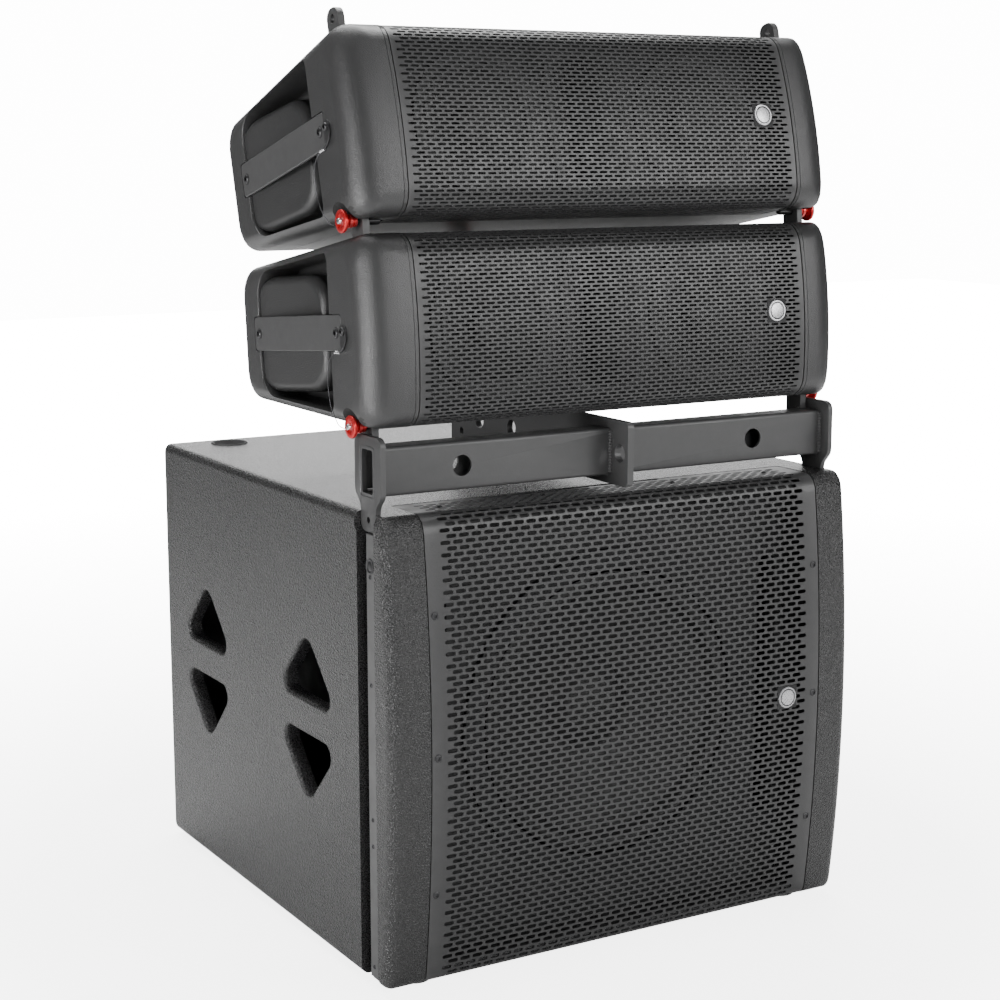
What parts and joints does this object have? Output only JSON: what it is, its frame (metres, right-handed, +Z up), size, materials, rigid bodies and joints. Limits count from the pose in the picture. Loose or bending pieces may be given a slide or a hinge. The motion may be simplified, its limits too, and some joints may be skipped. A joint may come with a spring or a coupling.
{
  "type": "line array speaker",
  "caption": "Ground-stacked line array: a subwoofer cabinet, a steel stacking frame pinned into its sides, and wedge-shaped boxes that hinge on quick-release front pins.",
  "frame": {"origin": "on the floor under the stack, midway between the sides and midway between the sub's front and back", "axes": "+Z up, the fronts face -Y, +X to the right seen from the front"},
  "size_m": [0.628, 0.636, 1.052],
  "materials": {
    "textured_wood": "plywood under coarse textured black paint",
    "moulded_plastic": "fine-textured black moulding",
    "coated_steel": "satin black powder coat",
    "grille_steel": "perforated sheet, satin black powder coat",
    "driver_metal": "black cast basket and magnet",
    "driver_metal_light": "black cast basket with coated cone",
    "driver_cone": "coated pulp and moulded horn",
    "heatsink_aluminium": "black anodised fins",
    "knob_plastic": "soft black",
    "foot_rubber": "black rubber",
    "red_anodised": "red anodised",
    "bright_metal": "bright plated"
  },
  "bodies": {
    "base": {"sub_cabinet": "textured_wood", "sub_baffle": "textured_wood", "sub_woofer_frame": "driver_metal", "sub_woofer_cone": "driver_cone", "sub_grille": "grille_steel", "side_strip_left": "coated_steel", "side_strip_right": "coated_steel", "hand_cup_left": "textured_wood", "hand_cup_right": "textured_wood", "sub_amp_panel": "coated_steel", "sub_heatsink": "heatsink_aluminium", "foot_left_front": "foot_rubber", "foot_left_rear": "foot_rubber", "foot_right_front": "foot_rubber", "foot_right_rear": "foot_rubber", "frame_spine": "coated_steel", "frame_tube_left": "coated_steel", "frame_tube_right": "coated_steel", "frame_end_plate_left": "coated_steel", "frame_end_plate_right": "coated_steel", "frame_lug_left": "coated_steel", "frame_lug_right": "coated_steel"},
    "lower_box": {"lower_shell": "moulded_plastic", "lower_grille": "grille_steel", "lower_baffle": "moulded_plastic", "lower_waveguide": "driver_cone", "lower_rear_bracket": "coated_steel", "lower_input_panel": "coated_steel", "lower_woofer_left": "driver_metal_light", "lower_woofer_right": "driver_metal_light", "lower_handle_left": "coated_steel", "lower_handle_right": "coated_steel", "lower_link_left": "coated_steel", "lower_link_right": "coated_steel"},
    "upper_box": {"upper_shell": "moulded_plastic", "upper_grille": "grille_steel", "upper_baffle": "moulded_plastic", "upper_waveguide": "driver_cone", "upper_rear_bracket": "coated_steel", "upper_input_panel": "coated_steel", "upper_woofer_left": "driver_metal_light", "upper_woofer_right": "driver_metal_light", "upper_handle_left": "coated_steel", "upper_handle_right": "coated_steel", "upper_link_left": "coated_steel", "upper_link_right": "coated_steel"},
    "sub_level_knob": {"sub_level_knob": "knob_plastic"},
    "lower_rear_link": {"lower_rear_link": "coated_steel"},
    "lower_rear_pin": {"lower_rear_pin": "red_anodised"},
    "lower_pin_left": {"lower_pin_left": "red_anodised"},
    "lower_pin_button_left": {"lower_pin_button_left": "bright_metal"},
    "lower_pin_right": {"lower_pin_right": "red_anodised"},
    "lower_pin_button_right": {"lower_pin_button_right": "bright_metal"},
    "upper_rear_link": {"upper_rear_link": "coated_steel"},
    "upper_rear_pin": {"upper_rear_pin": "red_anodised"},
    "upper_pin_left": {"upper_pin_left": "red_anodised"},
    "upper_pin_button_left": {"upper_pin_button_left": "bright_metal"},
    "upper_pin_right": {"upper_pin_right": "red_anodised"},
    "upper_pin_button_right": {"upper_pin_button_right": "bright_metal"}
  },
  "joints": [
    {"name": "lower_box_tilt", "type": "hinge", "parent": "base", "child": "lower_box", "pos_m": [0, -0.231, 0.617], "axis": [1, 0, 0], "range_deg": [0, 10]},
    {"name": "upper_box_tilt", "type": "hinge", "parent": "lower_box", "child": "upper_box", "pos_m": [0, -0.21525, 0.83144], "axis": [1, 0, 0], "range_deg": [0, 10]},
    {"name": "lower_rear_link_swing", "type": "hinge", "parent": "lower_box", "child": "lower_rear_link", "pos_m": [0, 0.07954, 0.64404], "axis": [1, 0, 0], "range_deg": [-3, 0]},
    {"name": "upper_rear_link_swing", "type": "hinge", "parent": "upper_box", "child": "upper_rear_link", "pos_m": [0, 0.09527, 0.80415], "axis": [1, 0, 0], "range_deg": [-6.5, 0]},
    {"name": "lower_rear_pin_pull", "type": "slide", "parent": "base", "child": "lower_rear_pin", "axis": [1, 0, 0], "range_m": [0, 0.02]},
    {"name": "upper_rear_pin_pull", "type": "slide", "parent": "lower_box", "child": "upper_rear_pin", "axis": [1, 0, 0], "range_m": [0, 0.02]},
    {"name": "level_knob_turn", "type": "hinge", "parent": "base", "child": "sub_level_knob", "pos_m": [0.085, 0.3033, 0.173], "axis": [0, 1, 0], "range_deg": [-150, 150]},
    {"name": "lower_pin_left_pull", "type": "slide", "parent": "lower_box", "child": "lower_pin_left", "axis": [-1, 0, 0], "range_m": [0, 0.04]},
    {"name": "lower_pin_button_left_press", "type": "slide", "parent": "lower_pin_left", "child": "lower_pin_button_left", "axis": [1, 0, 0], "range_m": [0, 0.0025]},
    {"name": "lower_pin_right_pull", "type": "slide", "parent": "lower_box", "child": "lower_pin_right", "axis": [1, 0, 0], "range_m": [0, 0.04]},
    {"name": "lower_pin_button_right_press", "type": "slide", "parent": "lower_pin_right", "child": "lower_pin_button_right", "axis": [-1, 0, 0], "range_m": [0, 0.0025]},
    {"name": "upper_pin_left_pull", "type": "slide", "parent": "upper_box", "child": "upper_pin_left", "axis": [-1, 0, 0], "range_m": [0, 0.04]},
    {"name": "upper_pin_button_left_press", "type": "slide", "parent": "upper_pin_left", "child": "upper_pin_button_left", "axis": [1, 0, 0], "range_m": [0, 0.0025]},
    {"name": "upper_pin_right_pull", "type": "slide", "parent": "upper_box", "child": "upper_pin_right", "axis": [1, 0, 0], "range_m": [0, 0.04]},
    {"name": "upper_pin_button_right_press", "type": "slide", "parent": "upper_pin_right", "child": "upper_pin_button_right", "axis": [-1, 0, 0], "range_m": [0, 0.0025]}
  ],
  "couplings": [
    {"joint": "lower_rear_link_swing", "follows": "lower_box_tilt", "ratio": -0.23},
    {"joint": "upper_rear_link_swing", "follows": "upper_box_tilt", "ratio": -0.573}
  ]
}
